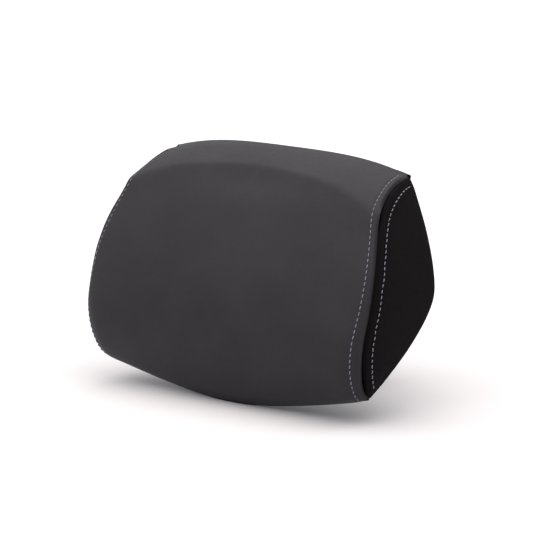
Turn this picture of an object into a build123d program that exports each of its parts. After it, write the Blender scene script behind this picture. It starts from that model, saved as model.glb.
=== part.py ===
from build123d import *
import os

# Upholstered chair headrest on a tilting, height-adjustable bracket. Millimetres.
# +X is to the right seen from the front, -Y points to the sitter's head, +Z is up.
# The origin is the middle of the mounting rail's rear face, where the chair frame touches it.

# Pad: its own datum lies this far in front of and above the origin
PAD_SETBACK = 112.0
PAD_RISE = 15.0
PAD_BACK_Y = 34.0
PAD_TOP_Z = 82.5
PAD_BOTTOM_Z = -84.0
PAD_BOTTOM_Y = -41.0
PAD_RIDGE_Z = -23.0
RIDGE_ROUND = 22.0
EDGE_ROUND = 7.0
PAD_HALF_SPAN = 150.0
SECTION_STATIONS = (-1.0, -0.86, -0.5, 0.0, 0.5, 0.86, 1.0)
TOP_CROWN = 9.0
UNDER_CROWN = 19.0
CROWN_POWER = 3
SEAM_LIFT = 4.5
COVER_THICKNESS = 3.0
SIDE_ROUND = 8.0
PAD_REACH = 130.0
CUT_SPAN = 600.0
# Points down the pad's front outline, and how far the crown moves each one forward and up
FRONT_SHAPE = (
    (10.0, 76.0, 0.0, 9.0),
    (-17.0, 55.0, 6.6, 6.6),
    (-41.0, 9.0, 11.0, 0.0),
    (-55.5, -37.0, 11.0, 0.0),
    (-50.0, -72.0, 5.5, -15.2),
)
# Points up the pad's right side, as half width and height
PAD_SIDE_SHAPE = (
    (132.0, -112.0),
    (137.0, -84.0),
    (142.5, -40.0),
    (145.4, -6.0),
    (141.5, 22.0),
    (126.5, 58.0),
    (118.0, 83.0),
    (112.0, 104.0),
)
COMFORT_BACK_Y = -19.0
COMFORT_SLOPE_Y = 65.0
COMFORT_SLOPE_Z = 113.0

# Board inside the pad, and the bracket screwed through the back panel into it
BOARD_WIDTH = 184.0
BOARD_HEIGHT = 76.0
BOARD_CORNER = 12.0
BOARD_THICKNESS = 6.0
SCREW_END_ROOM = 2.0
INSERT_RADIUS = 4.0
INSERT_FLANGE_RADIUS = 6.5
INSERT_FLANGE = 1.2
SCREW_RADIUS = 2.5
SCREW_CLEARANCE_RADIUS = 2.75
SCREW_HEAD_RADIUS = 4.75
SCREW_HEAD = 2.8
SCREW_HEAD_ROUND = 1.6
SCREW_SOCKET_RADIUS = 1.9
SCREW_SOCKET_DEPTH = 1.5
BRACKET_WIDTH = 66.0
BRACKET_HEIGHT = 58.0
BRACKET_GAUGE = 3.0
BRACKET_HOLE_X = 50.0
BRACKET_HOLE_Z = 44.0
BRACKET_CORNER = 6.0
EAR_ROOT = 17.0
EAR_NECK_BEHIND = 2.0
EAR_NECK_HALF = 10.8

# Plastic cover over the bracket, open below for the arm, and its two screws
SHROUD_WIDTH = 100.0
SHROUD_HEIGHT = 72.0
SHROUD_DEPTH = 20.0
SHROUD_CORNER = 10.0
SHROUD_WALL = 2.5
SHROUD_EDGE_ROUND = 2.0
WINDOW_WIDTH = 68.0
WINDOW_HEIGHT = 76.0
WINDOW_DROP = 18.0
BOSS_RADIUS = 4.5
COVER_SCREW_X = 41.0
COVER_SCREW_RADIUS = 1.6
COVER_SCREW_CLEARANCE_RADIUS = 1.8
COVER_SCREW_LENGTH = 30.0
COVER_SCREW_HEAD_RADIUS = 3.5
COVER_SCREW_HEAD = 2.0
CROSS_LENGTH = 3.4
CROSS_WIDTH = 0.8
CROSS_DEPTH = 1.2

# Tilt hinge
HINGE_Y = -53.0
HINGE_Z = 45.0
EAR_INNER_X = 20.0
EAR_OUTER_X = EAR_INNER_X + BRACKET_GAUGE
EAR_ROUND = 11.0
AXLE_RADIUS = 4.0
AXLE_RUNNING_GAP = 0.05
BARREL_RADIUS = 12.0
BARREL_HALF_LENGTH = 17.0
BUSH_WALL = 2.0
BUSH_FLANGE = 1.0
BUSH_FLANGE_RADIUS = 11.0
BUSH_LENGTH = 12.0
DISC_SPRING = 1.0
NUT_THICKNESS = 6.0
NUT_ACROSS_CORNERS = 15.0
NUT_COLLAR = 1.5
NUT_COLLAR_RADIUS = 6.0
AXLE_HEAD = 4.5
AXLE_HEAD_RADIUS = 7.0
AXLE_CHAMFER = 0.8
AXLE_SOCKET_RADIUS = 2.9
AXLE_SOCKET_DEPTH = 2.5
WASHER_RADIUS = 10.0
WASHER_GAP = 0.1

# Mounting rail: a base plate with a T-shaped guide
RAIL_HALF_HEIGHT = 84.0
RAIL_HALF_WIDTH = 26.0
RAIL_PLATE = 5.0
NECK_HALF_WIDTH = 7.0
GUIDE_HALF_WIDTH = 15.0
GUIDE_FRONT_Y = -19.0
GUIDE_REAR_Y = -11.0
GUIDE_HALF_HEIGHT = 68.0
MOUNT_HOLE_RADIUS = 3.3
MOUNT_HOLE_X = 30.0
MOUNT_HOLE_Z = 152.0
RAIL_CORNER = 6.0

# Carriage on the rail, with its travel each way from the middle
CARRIAGE_HALF_HEIGHT = 30.0
CARRIAGE_HALF_WIDTH = 26.0
CARRIAGE_FRONT_Y = -38.0
CARRIAGE_REAR_Y = -5.5
CARRIAGE_CORNER = 4.0
ARM_FOOT_Z = 0.0
ARM_FOOT_DEPTH = 16.0
ARM_FRONT_Y = -7.5
ARM_FRONT_Z = -9.5
ARM_REAR_Y = 8.5
ARM_REAR_Z = 8.5
TRAVEL = 30.0
LINER_WALL = 2.0
LINER_GAP = 0.1
LIP_INNER_X = 8.0
LIP_DEPTH = 6.0
SLOT_HALF_WIDTH = GUIDE_HALF_WIDTH + LINER_WALL
GUIDE_DEPTH = GUIDE_REAR_Y - GUIDE_FRONT_Y
GUIDE_MIDDLE_Y = (GUIDE_FRONT_Y + GUIDE_REAR_Y) / 2
SLOT_DEPTH = GUIDE_DEPTH + 2 * LINER_WALL

# Cap on the carriage's front, below the arm
CAP_WIDTH = 44.0
CAP_HEIGHT = 26.0
CAP_THICKNESS = 2.5
CAP_Z = -15.0
CAP_SCREW_X = 30.0
CAP_SCREW_LENGTH = 8.0

# End stops on the guide, just past the carriage's travel
STOP_GAP = 0.5
STOP_INNER_Z = CARRIAGE_HALF_HEIGHT + TRAVEL + STOP_GAP
STOP_OUTER_Z = 71.0
STOP_HALF_WIDTH = 19.0
STOP_FRONT_Y = -22.0
STOP_CORNER = 2.0
STOP_SCREW_Z = 64.5
STOP_SCREW_RADIUS = 1.5
STOP_SCREW_DEPTH = 6.0
STOP_SCREW_HEAD_RADIUS = 2.8
STOP_SCREW_HEAD = 1.8
STOP_SOCKET_RADIUS = 1.05

# Clamp knob on the carriage's right side
CLAMP_Y = -15.0
CLAMP_Z = -10.0
STUD_RADIUS = 3.0
STUD_GAP = 0.05
CLAMP_PAD_RADIUS = 4.0
KNOB_RADIUS = 12.0
KNOB_LENGTH = 18.0
KNOB_GAP = 1.5
KNOB_FLUTES = 6
KNOB_ROUND = 1.5
FLUTE_DEPTH = 1.6
STUD_IN_KNOB = 12.0
STUD_CHAMFER = 0.5
STUD_END_GAP = 0.2
CLAMP_PAD_LENGTH = 3.8
CLAMP_POCKET = 2.5


def pad_slice(x):
    """The upright plane across the pad at x; its own axes are the pad's y and z."""
    return Plane(origin=(x, -PAD_SETBACK, PAD_RISE), x_dir=(0, 1, 0), z_dir=(1, 0, 0))


def pad_face(y):
    """The plane facing the sitter at the pad's own y; its axes are x and the pad's z."""
    return Plane(origin=(0, y - PAD_SETBACK, PAD_RISE), x_dir=(1, 0, 0), z_dir=(0, -1, 0))


def crossways(x):
    """The upright plane across the mechanism at x; its axes are the frame's Y and Z."""
    return Plane(origin=(x, 0, 0), x_dir=(0, 1, 0), z_dir=(1, 0, 0))


def facing(y):
    """The plane facing the sitter at the frame's Y; its axes are the frame's X and Z."""
    return Plane(origin=(0, y, 0), x_dir=(1, 0, 0), z_dir=(0, -1, 0))


def write(piece, name):
    """Labels a finished sub-part and writes it as one STEP file."""
    piece.part.label = name
    export_step(piece.part, f"parts/{name}.step")


def pad_profile(x, inset):
    """The pad's side outline at x, fuller towards the middle, drawn in by the inset."""
    fullness = 1 - abs(x / PAD_HALF_SPAN) ** CROWN_POWER
    top_edge = (PAD_BACK_Y, PAD_TOP_Z + TOP_CROWN * fullness)
    bottom_edge = (PAD_BOTTOM_Y, PAD_BOTTOM_Z - UNDER_CROWN * fullness)
    front = [(y - ahead * fullness, z + above * fullness) for y, z, ahead, above in FRONT_SHAPE]
    ridge = (PAD_BACK_Y, PAD_RIDGE_Z)
    with BuildSketch(pad_slice(x)) as outline:
        with BuildLine():
            Spline(top_edge, *front, bottom_edge)
            Line(bottom_edge, ridge)
            Line(ridge, top_edge)
        make_face()
        for corner, radius in ((ridge, RIDGE_ROUND), (top_edge, EDGE_ROUND), (bottom_edge, EDGE_ROUND)):
            fillet(outline.vertices().sort_by_distance(corner)[0], radius)
        if inset > 0:
            offset(amount=-inset, kind=Kind.INTERSECTION)
    return outline.sketch


def pad_loft(inset):
    """The pad's crowned body right across, before its sides are shaped."""
    with BuildPart() as body:
        loft([pad_profile(station * PAD_HALF_SPAN, inset) for station in SECTION_STATIONS])
    return body.part


def pad_outline(inset, rounded):
    """The pad's outline seen from the front, run from back to front, rear edges rounded or square."""
    rear = PAD_BACK_Y if rounded else PAD_BACK_Y + SIDE_ROUND
    with BuildPart() as outline:
        with BuildSketch(pad_face(rear)):
            with BuildLine():
                right_side = Spline(*[(x - inset, z) for x, z in PAD_SIDE_SHAPE])
                left_side = mirror(right_side, about=Plane.YZ)
                Line(right_side @ 0, left_side @ 0)
                Line(right_side @ 1, left_side @ 1)
            make_face()
        extrude(amount=PAD_REACH)
        if rounded:
            rear_edges = outline.faces().sort_by(Axis.Y)[-1].edges()
            fillet(rear_edges.filter_by(Axis.X, reverse=True), SIDE_ROUND)
    return outline.part


def at_mirror_pair(x, z=0.0):
    """Two places, the same distance right and left of the middle."""
    return Locations((x, z), (-x, z))


os.makedirs("parts", exist_ok=True)

pad_hinge_z = HINGE_Z - PAD_RISE
board_face_y = PAD_BACK_Y - COVER_THICKNESS
board_front_y = board_face_y - BOARD_THICKNESS
back_plane_y = PAD_BACK_Y - PAD_SETBACK
bracket_rear_y = back_plane_y + BRACKET_GAUGE

# ---- Pad covers and foam ----------------------------------------------------------------
pad_outer = pad_loft(0.0)
pad_lining = pad_loft(COVER_THICKNESS)
side_limits = pad_outline(0.0, rounded=True)
lining_limits = pad_outline(COVER_THICKNESS, rounded=False)
seam_plane = Plane(
    origin=(0, PAD_BACK_Y - PAD_SETBACK, PAD_TOP_Z + PAD_RISE + SEAM_LIFT),
    x_dir=(1, 0, 0),
    z_dir=(0, PAD_TOP_Z - PAD_BOTTOM_Z, PAD_BOTTOM_Y - PAD_BACK_Y),
)
comfort_plane = Plane(
    origin=(0, COMFORT_BACK_Y - PAD_SETBACK, PAD_RISE),
    x_dir=(1, 0, 0),
    z_dir=(0, COMFORT_SLOPE_Z, -COMFORT_SLOPE_Y),
)

with BuildPart() as side_panel_right:
    add(pad_outer)
    add(side_limits, mode=Mode.INTERSECT)
    add(lining_limits, mode=Mode.SUBTRACT)
    with BuildSketch(Plane.YZ):
        Rectangle(CUT_SPAN, CUT_SPAN)
    extrude(amount=-CUT_SPAN, mode=Mode.SUBTRACT)
write(side_panel_right, "side_panel_right")

with BuildPart() as side_panel_left:
    add(mirror(side_panel_right.part, about=Plane.YZ, mode=Mode.PRIVATE))
write(side_panel_left, "side_panel_left")

with BuildPart() as leather_cover:
    add(pad_outer)
    add(side_limits, mode=Mode.INTERSECT)
    add(lining_limits, mode=Mode.INTERSECT)
    add(pad_lining, mode=Mode.SUBTRACT)
    with BuildSketch(seam_plane):
        Rectangle(CUT_SPAN, CUT_SPAN)
    extrude(amount=CUT_SPAN, mode=Mode.SUBTRACT)
write(leather_cover, "leather_cover")

with BuildPart() as back_panel:
    add(pad_outer)
    add(side_limits, mode=Mode.INTERSECT)
    add(lining_limits, mode=Mode.INTERSECT)
    add(pad_lining, mode=Mode.SUBTRACT)
    with BuildSketch(seam_plane):
        Rectangle(CUT_SPAN, CUT_SPAN)
    extrude(amount=-CUT_SPAN, mode=Mode.SUBTRACT)
    with BuildSketch(facing(back_plane_y)):
        with Locations((0, HINGE_Z)):
            with GridLocations(BRACKET_HOLE_X, BRACKET_HOLE_Z, 2, 2):
                Circle(SCREW_CLEARANCE_RADIUS)
            with at_mirror_pair(COVER_SCREW_X):
                Circle(COVER_SCREW_CLEARANCE_RADIUS)
    extrude(amount=COVER_THICKNESS, mode=Mode.SUBTRACT)
write(back_panel, "back_panel")

with BuildPart() as comfort_foam:
    add(pad_lining)
    add(lining_limits, mode=Mode.INTERSECT)
    with BuildSketch(comfort_plane):
        Rectangle(CUT_SPAN, CUT_SPAN)
    extrude(amount=CUT_SPAN, mode=Mode.SUBTRACT)
write(comfort_foam, "comfort_foam")

with BuildPart() as carrier_board:
    with BuildSketch(pad_face(board_face_y)):
        with Locations((0, pad_hinge_z)):
            RectangleRounded(BOARD_WIDTH, BOARD_HEIGHT, BOARD_CORNER)
            with GridLocations(BRACKET_HOLE_X, BRACKET_HOLE_Z, 2, 2):
                Circle(INSERT_RADIUS, mode=Mode.SUBTRACT)
            with at_mirror_pair(COVER_SCREW_X):
                Circle(COVER_SCREW_RADIUS, mode=Mode.SUBTRACT)
    extrude(amount=BOARD_THICKNESS)
write(carrier_board, "carrier_board")

with BuildPart() as threaded_inserts:
    with BuildSketch(pad_face(board_face_y)):
        with Locations((0, pad_hinge_z)):
            with GridLocations(BRACKET_HOLE_X, BRACKET_HOLE_Z, 2, 2):
                Circle(INSERT_RADIUS)
    extrude(amount=BOARD_THICKNESS)
    with BuildSketch(pad_face(board_front_y)):
        with Locations((0, pad_hinge_z)):
            with GridLocations(BRACKET_HOLE_X, BRACKET_HOLE_Z, 2, 2):
                Circle(INSERT_FLANGE_RADIUS)
    extrude(amount=INSERT_FLANGE)
    with BuildSketch(pad_face(board_face_y)):
        with Locations((0, pad_hinge_z)):
            with GridLocations(BRACKET_HOLE_X, BRACKET_HOLE_Z, 2, 2):
                Circle(SCREW_RADIUS)
    extrude(amount=BOARD_THICKNESS + INSERT_FLANGE, mode=Mode.SUBTRACT)
write(threaded_inserts, "threaded_inserts")

with BuildPart() as foam_core:
    add(pad_lining)
    add(lining_limits, mode=Mode.INTERSECT)
    with BuildSketch(comfort_plane):
        Rectangle(CUT_SPAN, CUT_SPAN)
    extrude(amount=-CUT_SPAN, mode=Mode.SUBTRACT)
    with BuildSketch(pad_face(board_face_y)):
        with Locations((0, pad_hinge_z)):
            RectangleRounded(BOARD_WIDTH, BOARD_HEIGHT, BOARD_CORNER)
    extrude(amount=BOARD_THICKNESS, mode=Mode.SUBTRACT)
    with BuildSketch(pad_face(board_front_y)):
        with Locations((0, pad_hinge_z)):
            with GridLocations(BRACKET_HOLE_X, BRACKET_HOLE_Z, 2, 2):
                Circle(INSERT_FLANGE_RADIUS)
            with at_mirror_pair(COVER_SCREW_X):
                Circle(COVER_SCREW_RADIUS)
    extrude(amount=SCREW_END_ROOM, mode=Mode.SUBTRACT)
write(foam_core, "foam_core")

# ---- Bracket, its screws and the plastic cover round it ----------------------------------
with BuildPart() as hinge_bracket:
    with BuildSketch(facing(bracket_rear_y)):
        with Locations((0, HINGE_Z)):
            RectangleRounded(BRACKET_WIDTH, BRACKET_HEIGHT, BRACKET_CORNER)
            with GridLocations(BRACKET_HOLE_X, BRACKET_HOLE_Z, 2, 2):
                Circle(SCREW_CLEARANCE_RADIUS, mode=Mode.SUBTRACT)
    extrude(amount=BRACKET_GAUGE)
    with BuildSketch(crossways(EAR_INNER_X)):
        with Locations((HINGE_Y, HINGE_Z)):
            Circle(EAR_ROUND)
        Polygon(
            (bracket_rear_y, HINGE_Z - EAR_ROOT),
            (HINGE_Y + EAR_NECK_BEHIND, HINGE_Z - EAR_NECK_HALF),
            (HINGE_Y + EAR_NECK_BEHIND, HINGE_Z + EAR_NECK_HALF),
            (bracket_rear_y, HINGE_Z + EAR_ROOT),
            align=None,
        )
        with Locations((HINGE_Y, HINGE_Z)):
            Circle(AXLE_RADIUS, mode=Mode.SUBTRACT)
    extrude(amount=BRACKET_GAUGE)
    mirror(about=Plane.YZ)
write(hinge_bracket, "hinge_bracket")

with BuildPart() as bracket_screws:
    with BuildSketch(facing(bracket_rear_y)):
        with Locations((0, HINGE_Z)):
            with GridLocations(BRACKET_HOLE_X, BRACKET_HOLE_Z, 2, 2):
                Circle(SCREW_RADIUS)
    extrude(amount=BRACKET_GAUGE + COVER_THICKNESS + BOARD_THICKNESS + INSERT_FLANGE)
    with BuildSketch(facing(bracket_rear_y)):
        with Locations((0, HINGE_Z)):
            with GridLocations(BRACKET_HOLE_X, BRACKET_HOLE_Z, 2, 2):
                Circle(SCREW_HEAD_RADIUS)
    extrude(amount=-SCREW_HEAD)
    fillet(bracket_screws.edges().group_by(Axis.Y)[-1], SCREW_HEAD_ROUND)
    with BuildSketch(facing(bracket_rear_y + SCREW_HEAD)):
        with Locations((0, HINGE_Z)):
            with GridLocations(BRACKET_HOLE_X, BRACKET_HOLE_Z, 2, 2):
                RegularPolygon(SCREW_SOCKET_RADIUS, 6)
    extrude(amount=SCREW_SOCKET_DEPTH, mode=Mode.SUBTRACT)
write(bracket_screws, "bracket_screws")

with BuildPart() as rear_cover:
    with BuildSketch(facing(back_plane_y)):
        with Locations((0, HINGE_Z)):
            RectangleRounded(SHROUD_WIDTH, SHROUD_HEIGHT, SHROUD_CORNER)
    extrude(amount=-SHROUD_DEPTH)
    rim = rear_cover.faces().sort_by(Axis.Y)[-1].edges()
    fillet(rim, SHROUD_EDGE_ROUND)
    with BuildSketch(facing(back_plane_y)):
        with Locations((0, HINGE_Z)):
            RectangleRounded(
                SHROUD_WIDTH - 2 * SHROUD_WALL,
                SHROUD_HEIGHT - 2 * SHROUD_WALL,
                SHROUD_CORNER - SHROUD_WALL,
            )
            with at_mirror_pair(COVER_SCREW_X):
                Circle(BOSS_RADIUS, mode=Mode.SUBTRACT)
    extrude(amount=-(SHROUD_DEPTH - SHROUD_WALL), mode=Mode.SUBTRACT)
    with BuildSketch(facing(back_plane_y)):
        with Locations((0, HINGE_Z - WINDOW_DROP)):
            Rectangle(WINDOW_WIDTH, WINDOW_HEIGHT)
    extrude(amount=-SHROUD_DEPTH, mode=Mode.SUBTRACT)
    with BuildSketch(facing(back_plane_y)):
        with Locations((0, HINGE_Z)):
            with at_mirror_pair(COVER_SCREW_X):
                Circle(COVER_SCREW_CLEARANCE_RADIUS)
    extrude(amount=-SHROUD_DEPTH, mode=Mode.SUBTRACT)
write(rear_cover, "rear_cover")

with BuildPart() as cover_screws:
    with BuildSketch(facing(back_plane_y + SHROUD_DEPTH)):
        with Locations((0, HINGE_Z)):
            with at_mirror_pair(COVER_SCREW_X):
                Circle(COVER_SCREW_RADIUS)
    extrude(amount=COVER_SCREW_LENGTH)
    with BuildSketch(facing(back_plane_y + SHROUD_DEPTH)):
        with Locations((0, HINGE_Z)):
            with at_mirror_pair(COVER_SCREW_X):
                Circle(COVER_SCREW_HEAD_RADIUS)
    extrude(amount=-COVER_SCREW_HEAD)
    fillet(cover_screws.edges().group_by(Axis.Y)[-1], COVER_SCREW_HEAD / 2)
    with BuildSketch(facing(back_plane_y + SHROUD_DEPTH + COVER_SCREW_HEAD)):
        with Locations((0, HINGE_Z)):
            with at_mirror_pair(COVER_SCREW_X):
                Rectangle(CROSS_LENGTH, CROSS_WIDTH)
                Rectangle(CROSS_WIDTH, CROSS_LENGTH)
    extrude(amount=CROSS_DEPTH, mode=Mode.SUBTRACT)
write(cover_screws, "cover_screws")

# ---- Tilt axle, with its washers, springs, nut and bushes --------------------------------
with BuildPart() as tilt_axle:
    with BuildSketch(crossways(-EAR_OUTER_X)):
        with Locations((HINGE_Y, HINGE_Z)):
            Circle(AXLE_RADIUS)
    extrude(amount=EAR_OUTER_X * 2 + 2 * DISC_SPRING + NUT_THICKNESS)
    chamfer(tilt_axle.edges().sort_by(Axis.X)[-1], AXLE_CHAMFER)
    with BuildSketch(crossways(-EAR_OUTER_X)):
        with Locations((HINGE_Y, HINGE_Z)):
            Circle(AXLE_HEAD_RADIUS)
    extrude(amount=-AXLE_HEAD)
    fillet(tilt_axle.edges().sort_by(Axis.X)[0], AXLE_CHAMFER)
    with BuildSketch(crossways(-EAR_OUTER_X - AXLE_HEAD)):
        with Locations((HINGE_Y, HINGE_Z)):
            RegularPolygon(AXLE_SOCKET_RADIUS, 6)
    extrude(amount=AXLE_SOCKET_DEPTH, mode=Mode.SUBTRACT)
write(tilt_axle, "tilt_axle")

with BuildPart() as friction_washers:
    with BuildSketch(crossways(BARREL_HALF_LENGTH + BUSH_FLANGE + WASHER_GAP)):
        with Locations((HINGE_Y, HINGE_Z)):
            Circle(WASHER_RADIUS)
            Circle(AXLE_RADIUS, mode=Mode.SUBTRACT)
    extrude(amount=EAR_INNER_X - BARREL_HALF_LENGTH - BUSH_FLANGE - WASHER_GAP)
    mirror(about=Plane.YZ)
write(friction_washers, "friction_washers")

with BuildPart() as disc_springs:
    for spring_index in range(2):
        with BuildSketch(crossways(EAR_OUTER_X + spring_index * DISC_SPRING)):
            with Locations((HINGE_Y, HINGE_Z)):
                Circle(WASHER_RADIUS - spring_index)
                Circle(AXLE_RADIUS, mode=Mode.SUBTRACT)
        extrude(amount=DISC_SPRING)
write(disc_springs, "disc_springs")

with BuildPart() as lock_nut:
    with BuildSketch(crossways(EAR_OUTER_X + 2 * DISC_SPRING)):
        with Locations((HINGE_Y, HINGE_Z)):
            RegularPolygon(NUT_ACROSS_CORNERS / 2, 6)
            Circle(AXLE_RADIUS, mode=Mode.SUBTRACT)
    extrude(amount=NUT_THICKNESS - NUT_COLLAR)
    with BuildSketch(crossways(EAR_OUTER_X + 2 * DISC_SPRING + NUT_THICKNESS - NUT_COLLAR)):
        with Locations((HINGE_Y, HINGE_Z)):
            Circle(NUT_COLLAR_RADIUS)
            Circle(AXLE_RADIUS, mode=Mode.SUBTRACT)
    extrude(amount=NUT_COLLAR)
write(lock_nut, "lock_nut")

with BuildPart() as hinge_bushes:
    with BuildSketch(crossways(BARREL_HALF_LENGTH - BUSH_LENGTH)):
        with Locations((HINGE_Y, HINGE_Z)):
            Circle(AXLE_RADIUS + AXLE_RUNNING_GAP + BUSH_WALL)
    extrude(amount=BUSH_LENGTH)
    with BuildSketch(crossways(BARREL_HALF_LENGTH)):
        with Locations((HINGE_Y, HINGE_Z)):
            Circle(BUSH_FLANGE_RADIUS)
    extrude(amount=BUSH_FLANGE)
    with BuildSketch(crossways(BARREL_HALF_LENGTH - BUSH_LENGTH)):
        with Locations((HINGE_Y, HINGE_Z)):
            Circle(AXLE_RADIUS + AXLE_RUNNING_GAP)
    extrude(amount=BUSH_LENGTH + BUSH_FLANGE, mode=Mode.SUBTRACT)
    mirror(about=Plane.YZ)
write(hinge_bushes, "hinge_bushes")

# ---- Carriage: the block that runs on the rail, with the arm up to the hinge ---------------
with BuildPart() as carriage_block:
    carriage_middle_y = (CARRIAGE_FRONT_Y + CARRIAGE_REAR_Y) / 2
    carriage_depth = CARRIAGE_REAR_Y - CARRIAGE_FRONT_Y
    with BuildSketch(Plane.XY.offset(-CARRIAGE_HALF_HEIGHT)):
        with Locations((0, carriage_middle_y)):
            RectangleRounded(2 * CARRIAGE_HALF_WIDTH, carriage_depth, CARRIAGE_CORNER)
    extrude(amount=2 * CARRIAGE_HALF_HEIGHT)
    with BuildSketch(crossways(-BARREL_HALF_LENGTH)):
        with Locations((HINGE_Y, HINGE_Z)):
            Circle(BARREL_RADIUS)
        Polygon(
            (HINGE_Y + ARM_FRONT_Y, HINGE_Z + ARM_FRONT_Z),
            (HINGE_Y + ARM_REAR_Y, HINGE_Z + ARM_REAR_Z),
            (CARRIAGE_FRONT_Y + ARM_FOOT_DEPTH, CARRIAGE_HALF_HEIGHT),
            (CARRIAGE_FRONT_Y + ARM_FOOT_DEPTH, ARM_FOOT_Z),
            (CARRIAGE_FRONT_Y, ARM_FOOT_Z),
            align=None,
        )
    extrude(amount=2 * BARREL_HALF_LENGTH)
    with BuildSketch(crossways(-BARREL_HALF_LENGTH)):
        with Locations((HINGE_Y, HINGE_Z)):
            Circle(AXLE_RADIUS + AXLE_RUNNING_GAP + BUSH_WALL)
    extrude(amount=2 * BARREL_HALF_LENGTH, mode=Mode.SUBTRACT)
    with BuildSketch(Plane.XY.offset(-CARRIAGE_HALF_HEIGHT)):
        with Locations((0, GUIDE_MIDDLE_Y)):
            Rectangle(2 * SLOT_HALF_WIDTH, SLOT_DEPTH)
        with Locations((0, CARRIAGE_REAR_Y)):
            Rectangle(2 * LIP_INNER_X, 2 * LIP_DEPTH)
    extrude(amount=2 * CARRIAGE_HALF_HEIGHT, mode=Mode.SUBTRACT)
    with BuildSketch(crossways(SLOT_HALF_WIDTH)):
        with Locations((CLAMP_Y, CLAMP_Z)):
            Circle(CLAMP_PAD_RADIUS + STUD_GAP)
    extrude(amount=CLAMP_POCKET, mode=Mode.SUBTRACT)
    with BuildSketch(crossways(SLOT_HALF_WIDTH)):
        with Locations((CLAMP_Y, CLAMP_Z)):
            Circle(STUD_RADIUS + STUD_GAP)
    extrude(amount=CARRIAGE_HALF_WIDTH, mode=Mode.SUBTRACT)
    with BuildSketch(facing(CARRIAGE_FRONT_Y)):
        with Locations((0, CAP_Z)):
            with GridLocations(CAP_SCREW_X, 1, 2, 1):
                Circle(COVER_SCREW_RADIUS)
    extrude(amount=-CAP_SCREW_LENGTH, mode=Mode.SUBTRACT)
write(carriage_block, "carriage_block")

with BuildPart() as glide_liners:
    with BuildSketch(Plane.XY.offset(-CARRIAGE_HALF_HEIGHT)):
        with Locations(((LIP_INNER_X + SLOT_HALF_WIDTH) / 2, GUIDE_MIDDLE_Y)):
            Rectangle(SLOT_HALF_WIDTH - LIP_INNER_X, SLOT_DEPTH)
        with Locations((0, GUIDE_MIDDLE_Y)):
            Rectangle(
                2 * (GUIDE_HALF_WIDTH + LINER_GAP),
                GUIDE_DEPTH + 2 * LINER_GAP,
                mode=Mode.SUBTRACT,
            )
    extrude(amount=2 * CARRIAGE_HALF_HEIGHT)
    mirror(about=Plane.YZ)
    with BuildSketch(crossways(GUIDE_HALF_WIDTH)):
        with Locations((CLAMP_Y, CLAMP_Z)):
            Circle(CLAMP_PAD_RADIUS + STUD_GAP)
    extrude(amount=CARRIAGE_HALF_WIDTH, mode=Mode.SUBTRACT)
write(glide_liners, "glide_liners")

with BuildPart() as carriage_cap:
    with BuildSketch(facing(CARRIAGE_FRONT_Y)):
        with Locations((0, CAP_Z)):
            RectangleRounded(CAP_WIDTH, CAP_HEIGHT, CARRIAGE_CORNER)
            with GridLocations(CAP_SCREW_X, 1, 2, 1):
                Circle(COVER_SCREW_CLEARANCE_RADIUS, mode=Mode.SUBTRACT)
    extrude(amount=CAP_THICKNESS)
    fillet(carriage_cap.faces().sort_by(Axis.Y)[0].outer_wire().edges(), CAP_THICKNESS / 2)
write(carriage_cap, "carriage_cap")

with BuildPart() as cap_screws:
    with BuildSketch(facing(CARRIAGE_FRONT_Y - CAP_THICKNESS)):
        with Locations((0, CAP_Z)):
            with GridLocations(CAP_SCREW_X, 1, 2, 1):
                Circle(COVER_SCREW_HEAD_RADIUS)
    extrude(amount=COVER_SCREW_HEAD)
    fillet(cap_screws.edges().group_by(Axis.Y)[0], COVER_SCREW_HEAD / 2)
    with BuildSketch(facing(CARRIAGE_FRONT_Y - CAP_THICKNESS)):
        with Locations((0, CAP_Z)):
            with GridLocations(CAP_SCREW_X, 1, 2, 1):
                Circle(COVER_SCREW_RADIUS)
    extrude(amount=-(CAP_THICKNESS + CAP_SCREW_LENGTH))
    with BuildSketch(facing(CARRIAGE_FRONT_Y - CAP_THICKNESS - COVER_SCREW_HEAD)):
        with Locations((0, CAP_Z)):
            with GridLocations(CAP_SCREW_X, 1, 2, 1):
                Rectangle(CROSS_LENGTH, CROSS_WIDTH)
                Rectangle(CROSS_WIDTH, CROSS_LENGTH)
    extrude(amount=-CROSS_DEPTH, mode=Mode.SUBTRACT)
write(cap_screws, "cap_screws")

# ---- Clamp: brass pad, threaded stud and fluted knob ---------------------------------------
with BuildPart() as clamp_pad:
    with BuildSketch(crossways(GUIDE_HALF_WIDTH + LINER_GAP)):
        with Locations((CLAMP_Y, CLAMP_Z)):
            Circle(CLAMP_PAD_RADIUS)
    extrude(amount=CLAMP_PAD_LENGTH)
write(clamp_pad, "clamp_pad")

stud_start_x = GUIDE_HALF_WIDTH + LINER_GAP + CLAMP_PAD_LENGTH + STUD_END_GAP
knob_start_x = CARRIAGE_HALF_WIDTH + KNOB_GAP

with BuildPart() as clamp_stud:
    with BuildSketch(crossways(stud_start_x)):
        with Locations((CLAMP_Y, CLAMP_Z)):
            Circle(STUD_RADIUS)
    extrude(amount=knob_start_x + STUD_IN_KNOB - stud_start_x)
    chamfer(clamp_stud.edges().sort_by(Axis.X)[0], STUD_CHAMFER)
write(clamp_stud, "clamp_stud")

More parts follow.
